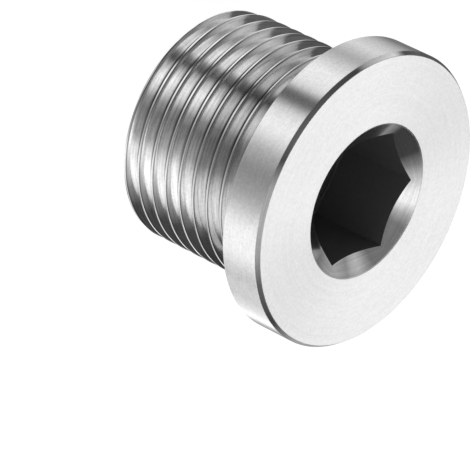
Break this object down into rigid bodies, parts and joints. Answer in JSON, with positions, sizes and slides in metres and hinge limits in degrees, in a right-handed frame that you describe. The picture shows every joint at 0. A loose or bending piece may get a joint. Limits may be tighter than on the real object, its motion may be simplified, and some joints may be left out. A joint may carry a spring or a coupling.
{
  "type": "hex socket plug",
  "caption": "Steel screw plug with a round collar over a fine external thread, and a countersunk hexagon socket in its head for a key.",
  "frame": {"origin": "centre of the flat sealing face under the collar", "axes": "+Z along the plug's axis, out of the head; +X through a corner of the hexagon socket"},
  "size_m": [0.025, 0.025, 0.0175],
  "materials": {
    "steel": "bright turned steel, satin on the head face, with fine tool marks round the collar and thread"
  },
  "bodies": {
    "root": {"plug": "steel"}
  },
  "joints": []
}
